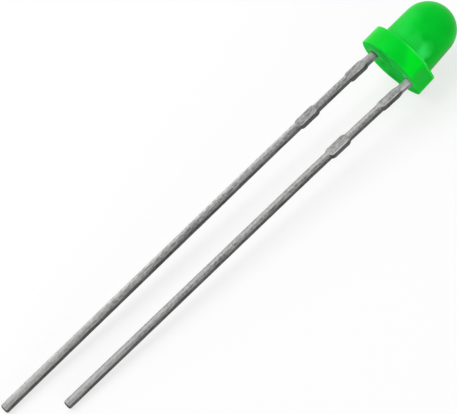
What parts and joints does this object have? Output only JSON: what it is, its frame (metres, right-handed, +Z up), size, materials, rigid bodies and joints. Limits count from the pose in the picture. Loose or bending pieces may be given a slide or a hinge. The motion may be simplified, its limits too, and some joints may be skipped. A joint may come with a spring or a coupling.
{
  "type": "through hole led",
  "caption": "Round indicator LED: a domed green resin lens on a flange with a polarity flat, with long square leads of unequal length, trimmed dam-bar stubs and a cup-and-post lead frame.",
  "frame": {"origin": "on the ground, under the middle of the box that the lying lamp fills", "axes": "+X towards the dome, along the lens's axis, which dips 4.2 degrees towards the leads; the leads lean 3.3 degrees to +Y; +Y towards the anode side; +Z up"},
  "size_m": [0.0298, 0.0048, 0.0039],
  "materials": {
    "green_resin": "tinted, diffused casting resin, satin to glossy, slightly translucent",
    "tin_plate": "matte tin plate on steel strip, finely grained",
    "chip_crystal": "semiconductor crystal, amber",
    "silver_paste": "silver-filled epoxy paste",
    "gold_wire": "bright gold"
  },
  "bodies": {
    "root": {"epoxy_lens": "green_resin", "anode_lead": "tin_plate", "cathode_lead": "tin_plate", "led_die": "chip_crystal", "die_attach": "silver_paste", "bond_wire": "gold_wire"}
  },
  "joints": []
}
